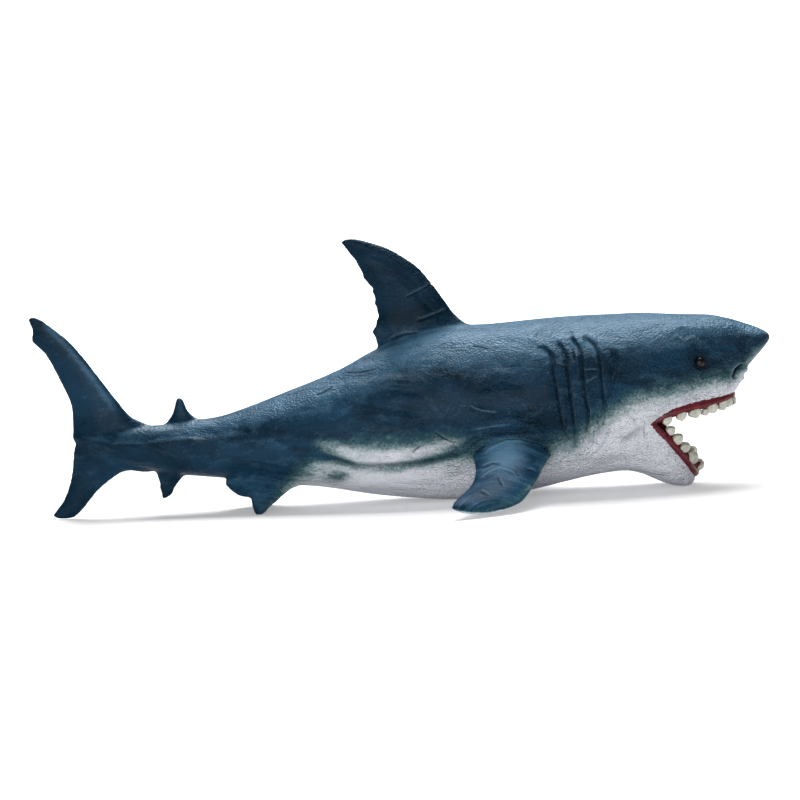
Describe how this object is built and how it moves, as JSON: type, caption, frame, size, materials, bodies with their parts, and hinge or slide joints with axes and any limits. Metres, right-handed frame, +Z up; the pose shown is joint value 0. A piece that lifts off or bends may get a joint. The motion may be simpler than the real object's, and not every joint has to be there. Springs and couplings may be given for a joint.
{
  "type": "shark figurine",
  "caption": "Shark figure in one moulded piece, with a wide open mouth of blunt teeth, gill slits, a tall back fin, paired fins and an upright tail fin.",
  "frame": {"origin": "under the belly, in the resting plane, where the belly's flat touches the floor", "axes": "+X towards the nose, +Y to the shark's left, +Z up through the back fin"},
  "size_m": [0.2894, 0.143, 0.1044],
  "materials": {
    "skin": "satin painted vinyl, dark blue above and off-white below"
  },
  "bodies": {
    "root": {"shark": "skin"}
  },
  "joints": []
}
